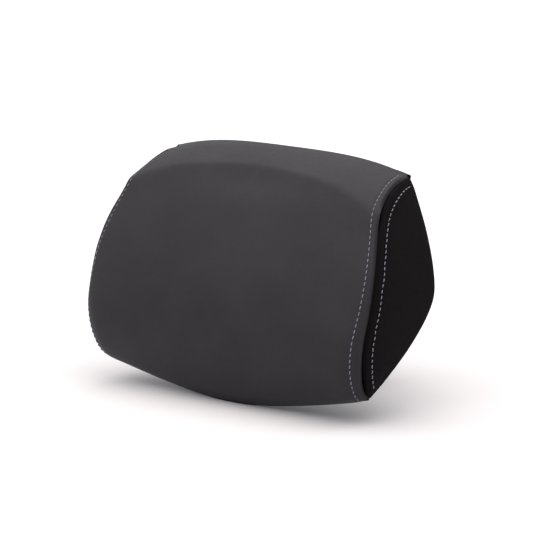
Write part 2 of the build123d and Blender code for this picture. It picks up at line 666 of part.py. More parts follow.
with BuildPart() as clamp_knob:
    with BuildSketch(crossways(knob_start_x)):
        with Locations((CLAMP_Y, CLAMP_Z)):
            Circle(KNOB_RADIUS)
            with PolarLocations(KNOB_RADIUS + FLUTE_DEPTH, KNOB_FLUTES):
                Circle(2 * FLUTE_DEPTH, mode=Mode.SUBTRACT)
    extrude(amount=KNOB_LENGTH)
    fillet(clamp_knob.faces().sort_by(Axis.X)[-1].edges(), KNOB_ROUND)
    with BuildSketch(crossways(knob_start_x)):
        with Locations((CLAMP_Y, CLAMP_Z)):
            Circle(STUD_RADIUS)
    extrude(amount=STUD_IN_KNOB, mode=Mode.SUBTRACT)
write(clamp_knob, "clamp_knob")

# ---- Mounting rail and its end stops -------------------------------------------------------
with BuildPart() as mounting_rail:
    with BuildSketch(facing(0)):
        RectangleRounded(2 * RAIL_HALF_WIDTH, 2 * RAIL_HALF_HEIGHT, RAIL_CORNER)
        with GridLocations(MOUNT_HOLE_X, MOUNT_HOLE_Z, 2, 2):
            Circle(MOUNT_HOLE_RADIUS, mode=Mode.SUBTRACT)
    extrude(amount=RAIL_PLATE)
    with BuildSketch(Plane.XY.offset(-GUIDE_HALF_HEIGHT)):
        with Locations((0, (GUIDE_REAR_Y - RAIL_PLATE) / 2)):
            Rectangle(2 * NECK_HALF_WIDTH, -GUIDE_REAR_Y - RAIL_PLATE)
        with Locations((0, GUIDE_MIDDLE_Y)):
            Rectangle(2 * GUIDE_HALF_WIDTH, GUIDE_DEPTH)
    extrude(amount=2 * GUIDE_HALF_HEIGHT)
    with BuildSketch(facing(GUIDE_FRONT_Y)):
        with GridLocations(1, 2 * STOP_SCREW_Z, 1, 2):
            Circle(STOP_SCREW_RADIUS)
    extrude(amount=-STOP_SCREW_DEPTH, mode=Mode.SUBTRACT)
write(mounting_rail, "mounting_rail")


def end_stop(direction):
    """The plastic block over one end of the guide; direction is 1 above and -1 below."""
    low_z = min(direction * STOP_INNER_Z, direction * STOP_OUTER_Z)
    with BuildPart() as stop:
        with BuildSketch(Plane.XY.offset(low_z)):
            with Locations((0, (STOP_FRONT_Y - RAIL_PLATE) / 2)):
                RectangleRounded(2 * STOP_HALF_WIDTH, -STOP_FRONT_Y - RAIL_PLATE, STOP_CORNER)
        extrude(amount=STOP_OUTER_Z - STOP_INNER_Z)
        with BuildSketch(Plane.XY.offset(-GUIDE_HALF_HEIGHT)):
            with Locations((0, (GUIDE_REAR_Y - RAIL_PLATE) / 2)):
                Rectangle(2 * NECK_HALF_WIDTH, -GUIDE_REAR_Y - RAIL_PLATE)
            with Locations((0, GUIDE_MIDDLE_Y)):
                Rectangle(2 * GUIDE_HALF_WIDTH, GUIDE_DEPTH)
        extrude(amount=2 * GUIDE_HALF_HEIGHT, mode=Mode.SUBTRACT)
        with BuildSketch(facing(STOP_FRONT_Y)):
            with Locations((0, direction * STOP_SCREW_Z)):
                Circle(STOP_SCREW_RADIUS)
        extrude(amount=GUIDE_FRONT_Y - STOP_FRONT_Y, dir=(0, 1, 0), mode=Mode.SUBTRACT)
    return stop


upper_end_stop = end_stop(1)
write(upper_end_stop, "upper_end_stop")

lower_end_stop = end_stop(-1)
write(lower_end_stop, "lower_end_stop")

with BuildPart() as stop_screws:
    with BuildSketch(facing(STOP_FRONT_Y)):
        with GridLocations(1, 2 * STOP_SCREW_Z, 1, 2):
            Circle(STOP_SCREW_RADIUS)
    extrude(amount=-(GUIDE_FRONT_Y - STOP_FRONT_Y + STOP_SCREW_DEPTH))
    with BuildSketch(facing(STOP_FRONT_Y)):
        with GridLocations(1, 2 * STOP_SCREW_Z, 1, 2):
            Circle(STOP_SCREW_HEAD_RADIUS)
    extrude(amount=STOP_SCREW_HEAD)
    fillet(stop_screws.edges().group_by(Axis.Y)[0], STOP_SCREW_HEAD / 2)
    with BuildSketch(facing(STOP_FRONT_Y - STOP_SCREW_HEAD)):
        with GridLocations(1, 2 * STOP_SCREW_Z, 1, 2):
            RegularPolygon(STOP_SOCKET_RADIUS, 6)
    extrude(amount=-STOP_SCREW_HEAD / 2, mode=Mode.SUBTRACT)
write(stop_screws, "stop_screws")
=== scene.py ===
import math

import bmesh
import bpy
import numpy as np
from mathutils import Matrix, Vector
from mathutils.bvhtree import BVHTree


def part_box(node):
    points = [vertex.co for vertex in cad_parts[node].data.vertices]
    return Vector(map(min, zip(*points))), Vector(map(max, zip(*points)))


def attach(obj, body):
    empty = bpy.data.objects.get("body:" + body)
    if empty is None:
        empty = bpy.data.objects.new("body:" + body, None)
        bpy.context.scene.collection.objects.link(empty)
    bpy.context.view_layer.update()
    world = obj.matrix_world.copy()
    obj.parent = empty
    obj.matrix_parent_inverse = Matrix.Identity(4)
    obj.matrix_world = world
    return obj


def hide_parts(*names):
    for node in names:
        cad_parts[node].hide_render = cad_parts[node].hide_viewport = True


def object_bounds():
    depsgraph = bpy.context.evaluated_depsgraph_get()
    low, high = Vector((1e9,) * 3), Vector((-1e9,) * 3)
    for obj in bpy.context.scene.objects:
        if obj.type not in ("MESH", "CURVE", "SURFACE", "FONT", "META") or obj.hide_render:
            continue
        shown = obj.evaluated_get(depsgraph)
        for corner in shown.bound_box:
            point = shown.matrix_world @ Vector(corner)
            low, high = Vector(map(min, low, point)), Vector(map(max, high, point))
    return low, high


# Upholstered chair headrest: leather face, woven sides and back, on a tilting and sliding bracket.
# Lengths are in metres; the rows that describe the pad are in millimetres in the pad's own datum.

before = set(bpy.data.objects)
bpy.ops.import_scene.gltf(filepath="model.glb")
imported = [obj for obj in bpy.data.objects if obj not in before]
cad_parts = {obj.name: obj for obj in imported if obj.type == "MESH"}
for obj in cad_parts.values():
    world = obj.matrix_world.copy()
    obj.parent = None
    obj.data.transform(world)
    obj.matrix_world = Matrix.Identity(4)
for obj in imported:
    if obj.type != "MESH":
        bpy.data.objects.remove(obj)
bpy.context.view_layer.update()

MM = 0.001

# Pad datum: the pad's back plane and the middle of the board inside it fix it in the frame
PAD_BACK = 34.0
BOARD_MIDDLE = 30.0
back_low, back_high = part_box("back_panel")
board_low, board_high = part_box("carrier_board")
datum = Vector((0.0, back_high.y - PAD_BACK * MM, (board_low.z + board_high.z) / 2 - BOARD_MIDDLE * MM))

# Seam between the leather and the side panels, from the top rear corner to the bottom corner.
# Each row is half width, depth and height at the seam, how far the middle stands out in depth
# and in height, how square the crown is, and how much of it rolls up close to the seam.
SEAM_ROWS = (
    (119.5, 33.0, 83.0, 0.0, 11.0, 3.2, 0.0),
    (121.0, 14.0, 79.0, -1.0, 12.5, 3.2, 0.0),
    (125.0, -4.5, 70.0, -1.0, 12.0, 3.4, 0.1),
    (129.5, -18.5, 57.5, -2.0, 9.5, 3.6, 0.25),
    (136.0, -29.5, 41.3, -3.5, 5.0, 3.6, 0.4),
    (142.6, -40.0, 18.0, -7.5, 1.0, 3.4, 0.5),
    (144.8, -47.5, -8.0, -12.0, 0.0, 3.0, 0.6),
    (143.0, -53.4, -37.0, -15.0, -2.0, 2.6, 0.75),
    (140.6, -52.0, -58.0, -14.0, -8.0, 2.2, 0.7),
    (138.4, -47.0, -74.0, -9.0, -16.0, 1.9, 0.4),
    (136.8, -40.0, -83.0, -2.0, -22.0, 1.7, 0.0),
)

# Crest where the top turns over into the face, from the middle out to the right
CREST_POINTS = (
    (0.0, -6.0, 82.0),
    (40.0, -8.0, 79.5),
    (80.0, -10.5, 74.0),
    (108.0, -15.0, 65.0),
    (125.0, -18.5, 58.0),
)
CREST_HEIGHT = 2.8
CREST_REACH = 9.0
CREST_SOFTNESS = 3.0

# Rear outline of the pad: down the back, round the ridge and along the slanted underside
REAR_ROWS = (
    (119.5, 33.0, 83.0, 0.0, 11.0, 3.2, 0.0),
    (124.0, 34.0, 76.0, 0.0, 3.0, 3.4, 0.0),
    (130.0, 34.0, 63.0, 0.0, 0.0, 3.0, 0.0),
    (138.5, 34.0, 41.3, 0.0, 0.0, 3.0, 0.0),
    (146.0, 34.0, 12.0, 0.0, 0.0, 2.5, 0.0),
    (147.5, 33.6, -8.0, 0.0, 0.0, 2.2, 0.0),
    (146.8, 27.5, -22.0, 0.0, 0.0, 2.0, 0.0),
    (144.6, 8.0, -44.5, 0.0, -5.0, 1.8, 0.0),
    (140.4, -22.0, -70.0, 0.0, -13.0, 1.7, 0.0),
    (136.8, -40.0, -83.0, -2.0, -22.0, 1.7, 0.0),
)

ROLL_WIDTH = 17.0
REAR_ROUND = 6.0
SIDE_DOME = 2.6
SIDE_SHORTEST = 2.5
SIDE_COLUMNS = 22
SEAM_SAMPLES = 66
SHELL_THICKNESS = 1.8

# Distances from the seam to the first columns of the leather and back meshes, and how far
# apart the columns between them are
EDGE_STEPS = (0.0, 3.2, 6.4, 9.6, 14.0, 19.0, 24.5)
LEATHER_STEP = 5.2
BACK_STEP = 7.0

# Stitching
STITCH_PITCH = 4.7
STITCH_LENGTH = 3.1
STITCH_ROW = 6.4
SIDE_STITCH_ROW = 5.2
SIDE_STITCH_END = 5.0
SIDE_STITCH_SPREAD = 1.06
THREAD_RADIUS = 0.36
THREAD_SIDES = 8
THREAD_END = 0.45
STITCH_SLIP = 0.06
STITCH_LEAN = 0.16
# Where along a stitch its points lie, and how far each is above the panel
STITCH_ARCH = ((0.0, -0.45), (0.14, 0.12), (0.5, 0.3), (0.86, 0.12), (1.0, -0.45))

# Cloth
CLOTH_FRAMES = 16
CLOTH_QUALITY = 6
CLOTH_MASS = 0.4
CLOTH_STRETCH = 12.0
CLOTH_SHEAR = 6.0
CLOTH_BENDING = 1.5
LEATHER_PRESSURE = 1.2
LEATHER_CAP = 1.6
SIDE_PRESSURE = 1.2
SIDE_CAP = 1.6

# Seams and filling. Each welt is a depth, a distance from the seam and a spread, and the
# negative depths are the swells on both sides of the stitch row.
SEAM_GROOVE = 2.4
GROOVE_SPREAD = 1.7
WELTS = ((0.55, STITCH_ROW, 1.5), (-0.55, 3.4, 1.8), (-0.75, 12.5, 4.0))
CORNER_DEPTH = 0.35
FILLING_SHARE = 0.88
FILLING_RINGS = 25
CORNER_FADE = 14.0

# Studio
FLOOR_HALF_SIZE = 30.0
FLOOR_TONE = 0.62
WORLD_COLOUR = (0.88, 0.92, 1.0, 1.0)
WORLD_STRENGTH = 0.66
OVERHEAD_COLOUR = (1.0, 0.92, 0.89)
OVERHEAD_FROM = (-0.05, -0.12, 1.0)
OVERHEAD_SOFTNESS = 110.0
OVERHEAD_STRENGTH = 4.4

# Camera: seen from the right front, a little above
CAMERA_AZIMUTH = 40.0
CAMERA_ELEVATION = 11.0
CAMERA_DISTANCE = 2.88
CAMERA_LENS = 243.0


# ---- Shape helpers -------------------------------------------------------------------------
def smooth_rows(rows, count):
    """Even samples along a smooth curve through the rows, by distance in the first three columns."""
    points = np.array(rows, float)
    chord = np.linalg.norm(np.diff(points[:, :3], axis=0), axis=1)
    knots = np.concatenate([[0.0], np.cumsum(np.sqrt(chord))])
    slopes = np.gradient(points, knots, axis=0)
    fine = np.linspace(0.0, knots[-1], 40 * count)
    index = np.clip(np.searchsorted(knots, fine, side="right") - 1, 0, len(knots) - 2)
    width = (knots[index + 1] - knots[index])[:, None]
    t = ((fine - knots[index]) / width[:, 0])[:, None]
    curve = (
        (2 * t**3 - 3 * t**2 + 1) * points[index]
        + (t**3 - 2 * t**2 + t) * width * slopes[index]
        + (-2 * t**3 + 3 * t**2) * points[index + 1]
        + (t**3 - t**2) * width * slopes[index + 1]
    )
    travelled = np.concatenate(
        [[0.0], np.cumsum(np.linalg.norm(np.diff(curve[:, :3], axis=0), axis=1))]
    )
    even = np.linspace(0.0, travelled[-1], count)
    return np.stack([np.interp(even, travelled, curve[:, k]) for k in range(curve.shape[1])], axis=1)


def to_frame(points):
    """Millimetres in the pad's datum to metres in the frame."""
    return points * MM + np.array(datum)


def crossing_steps(half_width, step):
    """Places across the pad from one seam to the other, closer together near the seams."""
    edge = np.array(EDGE_STEPS)
    middle = half_width - edge[-1]
    inner_count = max(2, int(round(2 * middle / step)))
    inner = np.linspace(-middle, middle, inner_count + 1)
    return np.concatenate([edge[:-1] - half_width, inner, (half_width - edge[:-1])[::-1]])


def crowned_rows(rows, step):
    """A grid across the pad: each row is crowned between its two seam points."""
    widest = rows[:, 0].max()
    across = crossing_steps(widest, step) / widest
    grid = np.zeros((len(rows), len(across), 3))
    for i, row in enumerate(rows):
        share = fullness(across, row)
        grid[i, :, 0] = row[0] * across
        grid[i, :, 1] = row[1] + row[3] * share
        grid[i, :, 2] = row[2] + row[4] * share
    return grid


def fullness(across, row):
    """How full the pad is at each place across a row: 0 at the seams and 1 in the middle."""
    half_width, power, rolled = row[0], row[5], row[6]
    from_seam = (1 - np.abs(across)) * half_width
    short = np.clip(1 - from_seam / ROLL_WIDTH, 0.0, 1.0)
    return rolled * np.sqrt(1 - short**2) + (1 - rolled) * (1 - np.abs(across) ** power)


def mesh_from_grid(name, grid, flip=False):
    """A quad mesh from a grid of points in the frame, with a 'rim' group on its border."""
    rows, columns = grid.shape[:2]
    faces = []
    for i in range(rows - 1):
        for j in range(columns - 1):
            corners = [i * columns + j, i * columns + j + 1, (i + 1) * columns + j + 1, (i + 1) * columns + j]
            faces.append(corners[::-1] if flip else corners)
    mesh = bpy.data.meshes.new(name)
    mesh.from_pydata([tuple(p) for p in grid.reshape(-1, 3)], [], faces)
    mesh.update()
    piece = bpy.data.objects.new(name, mesh)
    bpy.context.scene.collection.objects.link(piece)
    rim = piece.vertex_groups.new(name="rim")
    border = [i * columns + j for i in range(rows) for j in range(columns)
              if i in (0, rows - 1) or j in (0, columns - 1)]
    rim.add(border, 1.0, "REPLACE")
    return piece


def apply_modifiers(piece):
    """Replaces the mesh by its evaluated one and drops the modifiers."""
    graph = bpy.context.evaluated_depsgraph_get()
    result = bpy.data.meshes.new_from_object(piece.evaluated_get(graph))
    old = piece.data
    piece.modifiers.clear()
    piece.data = result
    bpy.data.meshes.remove(old)


def coordinates(mesh):
    """The mesh's vertex places as an array."""
    flat = np.zeros(len(mesh.vertices) * 3)
    mesh.vertices.foreach_get("co", flat)
    return flat.reshape(-1, 3)


def inflate(piece, pressure, cap):
    """Puffs the panel between its pinned rim by a short cloth simulation, kept within the cap."""
    start = coordinates(piece.data)
    cloth = piece.modifiers.new("puff", "CLOTH")
    settings = cloth.settings
    settings.quality = CLOTH_QUALITY
    settings.mass = CLOTH_MASS
    settings.tension_stiffness = CLOTH_STRETCH
    settings.compression_stiffness = CLOTH_STRETCH
    settings.shear_stiffness = CLOTH_SHEAR
    settings.bending_stiffness = CLOTH_BENDING
    settings.use_pressure = True
    settings.uniform_pressure_force = pressure
    settings.vertex_group_mass = "rim"
    settings.effector_weights.gravity = 0.0
    cloth.collision_settings.use_collision = False
    cloth.point_cache.frame_start = 1
    cloth.point_cache.frame_end = CLOTH_FRAMES
    for number in range(1, CLOTH_FRAMES + 1):
        bpy.context.scene.frame_set(number)
    apply_modifiers(piece)
    moved = coordinates(piece.data)
    step = moved - start
    length = np.linalg.norm(step, axis=1)
    limit = cap * MM
    scale = np.where(length > 1e-9, limit * np.tanh(length / limit) / np.maximum(length, 1e-9), 0.0)
    piece.data.vertices.foreach_set("co", (start + step * scale[:, None]).ravel())
    piece.data.update()
    bpy.context.scene.frame_set(1)


def subdivide(piece, levels):
    """Smooth subdivision, applied, with the border kept where it is."""
    smooth = piece.modifiers.new("smooth", "SUBSURF")
    smooth.levels = levels
    smooth.render_levels = levels
    smooth.boundary_smooth = "PRESERVE_CORNERS"
    apply_modifiers(piece)


def nearest_distance(points, line):
    """Distance from each point to the nearest of the line's points."""
    best = np.full(len(points), 1e9)
    for part in np.array_split(line, max(1, len(line) // 60)):
        gaps = np.linalg.norm(points[:, None, :] - part[None, :, :], axis=2).min(axis=1)
        best = np.minimum(best, gaps)
    return best


def dense(line, count):
    """The line resampled to many even points."""
    travelled = np.concatenate([[0.0], np.cumsum(np.linalg.norm(np.diff(line, axis=0), axis=1))])
    even = np.linspace(0.0, travelled[-1], count)
    return np.stack([np.interp(even, travelled, line[:, k]) for k in range(3)], axis=1)


def press_seams(piece, seams):
    """Sinks the panel into its seams and dents it along the stitch rows, less so at its corners."""
    mesh = piece.data
    points = coordinates(mesh)
    normals = np.zeros(len(points) * 3)
    mesh.vertices.foreach_get("normal", normals)
    normals = normals.reshape(-1, 3)
    from_corner = nearest_distance(points, np.array(pad_corners)) / MM
    fade = np.clip(from_corner / CORNER_FADE, 0.0, 1.0) ** 2
    sunk = np.zeros(len(points))
    for line, row_here in seams:
        gap = nearest_distance(points, dense(line, 420)) / MM
        sunk = np.maximum(sunk, SEAM_GROOVE * np.exp(-((gap / GROOVE_SPREAD) ** 2)))
        if row_here:
            dent = sum(depth * np.exp(-(((gap - away) / spread) ** 2)) for depth, away, spread in WELTS)
            sunk += dent * fade
    points -= normals * (sunk * (CORNER_DEPTH + (1 - CORNER_DEPTH) * fade) * MM)[:, None]
    mesh.vertices.foreach_set("co", points.ravel())
    mesh.update()


def raise_crest(piece):
    """Lifts the panel into a soft crest where the top turns over into the face."""
    half = np.array(CREST_POINTS)
    line = np.concatenate([(half * (-1.0, 1.0, 1.0))[:0:-1], half])
    points = coordinates(piece.data)
    normals = np.zeros(len(points) * 3)
    piece.data.vertices.foreach_get("normal", normals)
    gap = nearest_distance(points, dense(to_frame(line), 420)) / MM
    soft_gap = np.sqrt(gap**2 + CREST_SOFTNESS**2) - CREST_SOFTNESS
    points += normals.reshape(-1, 3) * (CREST_HEIGHT * np.exp(-soft_gap / CREST_REACH) * MM)[:, None]
    piece.data.vertices.foreach_set("co", points.ravel())
    piece.data.update()


def thicken(piece, depth):
    """Closes the panel into a thin shell that grows inwards."""
    shell = piece.modifiers.new("shell", "SOLIDIFY")
    shell.thickness = depth * MM
    shell.offset = -1.0
    shell.use_even_offset = False
    apply_modifiers(piece)


def shade_smooth(piece):
    for face in piece.data.polygons:
        face.use_smooth = True


def tube(bm, path, radius, sides):
    """A closed round tube along the path's points, added to the bmesh."""
    rings = []
    for k, place in enumerate(path):
        ahead = path[min(k + 1, len(path) - 1)] - path[max(k - 1, 0)]
        ahead = ahead.normalized()
        side = ahead.orthogonal().normalized()
        up = ahead.cross(side)
        thin = THREAD_END if k in (0, len(path) - 1) else 1.0
        rings.append([
            bm.verts.new(place + (side * math.cos(a) + up * math.sin(a)) * radius * thin)
            for a in (2 * math.pi * n / sides for n in range(sides))
        ])
    for first, second in zip(rings, rings[1:]):
        for n in range(sides):
            bm.faces.new((first[n], first[(n + 1) % sides], second[(n + 1) % sides], second[n]))
    bm.faces.new(rings[0][::-1])
    bm.faces.new(rings[-1])


def stitch_row(name, piece, line):
    """A row of thread stitches laid on the panel along the line."""
    surface = BVHTree.FromObject(piece, bpy.context.evaluated_depsgraph_get())
    travelled = np.concatenate([[0.0], np.cumsum(np.linalg.norm(np.diff(line, axis=0), axis=1))])
    count = int(travelled[-1] / (STITCH_PITCH * MM))
    bm = bmesh.new()

    def on_surface(distance, lift):
        place = Vector([np.interp(distance, travelled, line[:, k]) for k in range(3)])
        spot, normal, _, _ = surface.find_nearest(place)
        return spot + normal * lift * MM, normal

    for number in range(count):
        start = (number + 0.5) * STITCH_PITCH * MM
        slip = STITCH_SLIP * math.sin(number * 2.3) * MM
        path = []
        for part, lift in STITCH_ARCH:
            spot, normal = on_surface(start + slip + part * STITCH_LENGTH * MM, lift)
            path.append(spot)
        lean = (path[-1] - path[0]).cross(normal).normalized() * STITCH_LEAN * MM
        path = [spot + lean * (k - 2) / 2 for k, spot in enumerate(path)]
        tube(bm, path, THREAD_RADIUS * MM, THREAD_SIDES)
    mesh = bpy.data.meshes.new(name)
    bmesh.ops.recalc_face_normals(bm, faces=bm.faces)
    bm.to_mesh(mesh)
    bm.free()
    row = bpy.data.objects.new(name, mesh)
    bpy.context.scene.collection.objects.link(row)
    shade_smooth(row)
    return row


# ---- Material helpers ----------------------------------------------------------------------
class Finish:
    """A node material with object coordinates, a shader and a few shortcuts."""

    def __init__(self, name):
        self.material = bpy.data.materials.new(name)
        self.material.use_nodes = True
        self.nodes = self.material.node_tree.nodes
        self.links = self.material.node_tree.links
        self.shader = self.nodes["Principled BSDF"]
        self.place = self.nodes.new("ShaderNodeTexCoord").outputs["Object"]

    def set(self, **values):
        for name, value in values.items():
            self.shader.inputs[name.replace("_", " ")].default_value = value

    def noise(self, scale, detail=4.0, stretch=(1, 1, 1)):
        node = self.nodes.new("ShaderNodeTexNoise")
        node.inputs["Scale"].default_value = scale
        node.inputs["Detail"].default_value = detail
        self.links.new(self.stretched(stretch), node.inputs["Vector"])
        return node.outputs["Fac"]

    def cells(self, scale, feature="DISTANCE_TO_EDGE"):
        node = self.nodes.new("ShaderNodeTexVoronoi")
        node.feature = feature
        node.inputs["Scale"].default_value = scale
        self.links.new(self.place, node.inputs["Vector"])
        return node.outputs["Distance"]

    def stretched(self, stretch):
        node = self.nodes.new("ShaderNodeMapping")
        node.inputs["Scale"].default_value = stretch
        self.links.new(self.place, node.inputs["Vector"])
        return node.outputs["Vector"]

    def bands(self, scale, direction, distortion=0.0):
        node = self.nodes.new("ShaderNodeTexWave")
        node.bands_direction = direction
        node.inputs["Scale"].default_value = scale
        node.inputs["Distortion"].default_value = distortion
        self.links.new(self.place, node.inputs["Vector"])
        return node.outputs["Fac"]

    def ramp(self, value, stops):
        node = self.nodes.new("ShaderNodeValToRGB")
        elements = node.color_ramp.elements
        while len(elements) < len(stops):
            elements.new(0.5)
        for element, (position, colour) in zip(elements, stops):
            element.position = position
            element.color = (*colour, 1.0)
        self.links.new(value, node.inputs["Fac"])
        return node.outputs["Color"]

    def span(self, value, low, high):
        node = self.nodes.new("ShaderNodeMapRange")
        node.inputs["To Min"].default_value = low
        node.inputs["To Max"].default_value = high
        self.links.new(value, node.inputs["Value"])
        return node.outputs["Result"]

    def math(self, operation, first, second):
        node = self.nodes.new("ShaderNodeMath")
        node.operation = operation
        for socket, value in zip(node.inputs, (first, second)):
            if isinstance(value, (int, float)):
                socket.default_value = value
            else:
                self.links.new(value, socket)
        return node.outputs["Value"]

    def bump(self, height, distance, strength=1.0):
        node = self.nodes.new("ShaderNodeBump")
        node.inputs["Distance"].default_value = distance * MM
        node.inputs["Strength"].default_value = strength
        self.links.new(height, node.inputs["Height"])
        if self.shader.inputs["Normal"].is_linked:
            earlier = self.shader.inputs["Normal"].links[0].from_socket
            self.links.new(earlier, node.inputs["Normal"])
        self.links.new(node.outputs["Normal"], self.shader.inputs["Normal"])

    def colour(self, value):
        self.links.new(value, self.shader.inputs["Base Color"])

    def roughness(self, value):
        self.links.new(value, self.shader.inputs["Roughness"])


def leather_finish():
    """Charcoal leather: fine pebbled grain, faint creases and a soft sheen."""
    finish = Finish("charcoal_leather")
    pebbles = finish.cells(1100.0)
    creases = finish.noise(260.0, 6.0)
    clouds = finish.noise(22.0, 3.0)
    tone = finish.ramp(clouds, ((0.3, (0.0128, 0.0120, 0.0146)), (0.7, (0.0168, 0.0158, 0.0188))))
    finish.colour(tone)
    finish.roughness(finish.span(finish.math("ADD", creases, pebbles), 0.46, 0.6))
    finish.bump(creases, 0.25, 0.22)
    finish.bump(pebbles, 0.25, 0.55)
    finish.set(Specular_IOR_Level=0.2, Sheen_Weight=0.02, Sheen_Roughness=0.4)
    finish.shader.inputs["Sheen Tint"].default_value = (1.0, 0.96, 0.92, 1.0)
    return finish.material


def fabric_finish(name, thread, gap):
    """Near-black woven fabric: two sets of threads, uneven yarn and a dusty sheen."""
    finish = Finish(name)
    warp = finish.bands(420.0, "Y", 0.6)
    weft = finish.bands(420.0, "Z", 0.6)
    weave = finish.math("MAXIMUM", warp, weft)
    yarn = finish.noise(900.0, 3.0)
    mixed = finish.math("MULTIPLY", weave, finish.span(yarn, 0.1, 1.9))
    finish.colour(finish.ramp(mixed, ((0.25, gap), (0.9, thread))))
    finish.roughness(finish.span(yarn, 0.78, 0.95))
    finish.bump(mixed, 0.3, 0.7)
    finish.set(Specular_IOR_Level=0.05, Sheen_Weight=0.012, Sheen_Roughness=0.5)
    return finish.material


def thread_finish():
    """Light grey-blue sewing thread, twisted."""
    finish = Finish("stitch_thread")
    twist = finish.noise(2600.0, 2.0, (1.0, 1.0, 0.35))
    finish.colour(finish.ramp(twist, ((0.3, (0.12, 0.127, 0.165)), (0.7, (0.2, 0.21, 0.265)))))
    finish.roughness(finish.span(twist, 0.55, 0.75))
    finish.bump(twist, 0.12, 0.6)
    finish.set(Sheen_Weight=0.2, Sheen_Roughness=0.4)
    return finish.material


def plastic_finish(name, dark, light, rough, grain=1400.0):
    """Moulded plastic: spark-eroded texture with slight colour drift."""
    finish = Finish(name)
    speckle = finish.noise(grain, 2.0)
    drift = finish.noise(30.0, 3.0)
    finish.colour(finish.ramp(drift, ((0.3, dark), (0.7, light))))
    finish.roughness(finish.span(speckle, rough - 0.07, rough + 0.08))
    finish.bump(speckle, 0.06, 0.5)
    finish.set(Specular_IOR_Level=0.45)
    return finish.material


def metal_finish(name, dark, light, rough, stretch=(1, 1, 1), metallic=1.0, grain=700.0):
    """Metal: brushed or blasted grain and darker handling marks."""
    finish = Finish(name)
    grain_value = finish.noise(grain, 3.0, stretch)
    marks = finish.noise(45.0, 5.0)
    finish.colour(finish.ramp(marks, ((0.3, dark), (0.72, light))))
    finish.roughness(finish.span(grain_value, rough - 0.08, rough + 0.1))
    finish.bump(grain_value, 0.04, 0.5)
    finish.set(Metallic=metallic)
    return finish.material


def foam_finish():
    """Open-cell foam: fine pores and a warm grey tint."""
    finish = Finish("open_cell_foam")
    pores = finish.cells(800.0)
    finish.colour(finish.ramp(pores, ((0.0, (0.28, 0.27, 0.24)), (0.5, (0.62, 0.6, 0.54)))))
    finish.roughness(finish.span(pores, 0.85, 1.0))
    finish.bump(pores, 0.3, 0.8)
    return finish.material


def paint(piece, material):
    """Gives the piece or CAD node one material in every slot."""
    if not piece.data.materials:
        piece.data.materials.append(material)
    for place in range(len(piece.data.materials)):
        piece.material_slots[place].material = material


# ---- The pad -------------------------------------------------------------------------------
seam = smooth_rows(SEAM_ROWS, SEAM_SAMPLES)
rear = smooth_rows(REAR_ROWS, SEAM_SAMPLES)


def side_grid():
    """The right side panel: level rows from the seam back to the rounded rear edge."""
    order = np.argsort(rear[:, 2])
    columns = np.linspace(0.0, 1.0, SIDE_COLUMNS)
    grid = []
    for x, y, z in seam[:, :3]:
        rear_x = np.interp(z, rear[order, 2], rear[order, 0])
        rear_y = np.interp(z, rear[order, 2], rear[order, 1])
        depth = rear_y - y
        if depth < SIDE_SHORTEST:
            continue
        level = []
        for part in columns:
            here = y + depth * part
            to_rear = rear_y - here
            turn = max(0.0, REAR_ROUND - to_rear)
            inward = REAR_ROUND - math.sqrt(max(0.0, REAR_ROUND**2 - turn**2))
            shrink = min(1.0, depth / (3 * REAR_ROUND))
            dome = SIDE_DOME * math.sin(math.pi * math.sqrt(part)) * shrink
            level.append((x + (rear_x - x) * part + dome - inward * shrink, here, z))
        grid.append(level)
    return np.array(grid)


side_points = side_grid()
rear_edge = side_points[:, -1, :]


def back_grid():
    """The back and underside: rows between the two side panels' rear edges."""
    rows = rear.copy()
    order = np.argsort(rear_edge[:, 2])
    rows[:, 0] = np.interp(rear[:, 2], rear_edge[order, 2], rear_edge[order, 0])
    rows[0, 0] = seam[0, 0]
    rows[-1, 0] = seam[-1, 0]
    return crowned_rows(rows, BACK_STEP)


def filling_rings():
    """Closed outlines of the foam inside the covers, one at each station across the pad."""
    stations = np.linspace(-FILLING_SHARE, FILLING_SHARE, FILLING_RINGS)
    behind = rear[::-1][1:-1]
    rings = []
    for station in stations:
        ring = []
        for row in np.concatenate([seam, behind]):
            share = fullness(station, row)
            ring.append((row[0] * station, row[1] + row[3] * share, row[2] + row[4] * share))
        ring = np.array(ring)
        middle = ring.mean(axis=0)
        ring[:, 1:] = middle[1:] + (ring[:, 1:] - middle[1:]) * FILLING_SHARE
        rings.append(ring)
    return np.array(rings)


def close_ends(piece, rings):
    """Joins each ring into a loop and caps the two end rings."""
    count, size = rings.shape[:2]
    faces = []
    for i in range(count - 1):
        for j in range(size):
            after = (j + 1) % size
            faces.append((i * size + j, i * size + after, (i + 1) * size + after, (i + 1) * size + j))
    faces.append(tuple(range(size))[::-1])
    faces.append(tuple((count - 1) * size + j for j in range(size)))
    piece.data.clear_geometry()
    piece.data.from_pydata([tuple(p) for p in rings.reshape(-1, 3)], [], faces)
    piece.data.update()
    bm = bmesh.new()
    bm.from_mesh(piece.data)
    bmesh.ops.recalc_face_normals(bm, faces=bm.faces)
    bm.to_mesh(piece.data)
    bm.free()


def side_stitch_line(line):
    """The seam line moved in along the side panel by the stitch row's distance."""
    along = np.gradient(line, axis=0)
    along /= np.linalg.norm(along[:, 1:], axis=1)[:, None]
    moved = line.copy()
    moved[:, 1] -= along[:, 2] * SIDE_STITCH_ROW * MM
    moved[:, 2] += along[:, 1] * SIDE_STITCH_ROW * MM
    moved[:, 0] *= SIDE_STITCH_SPREAD
    behind = datum.y + (PAD_BACK - SIDE_STITCH_END) * MM
    return moved[moved[:, 1] < behind][:-2]


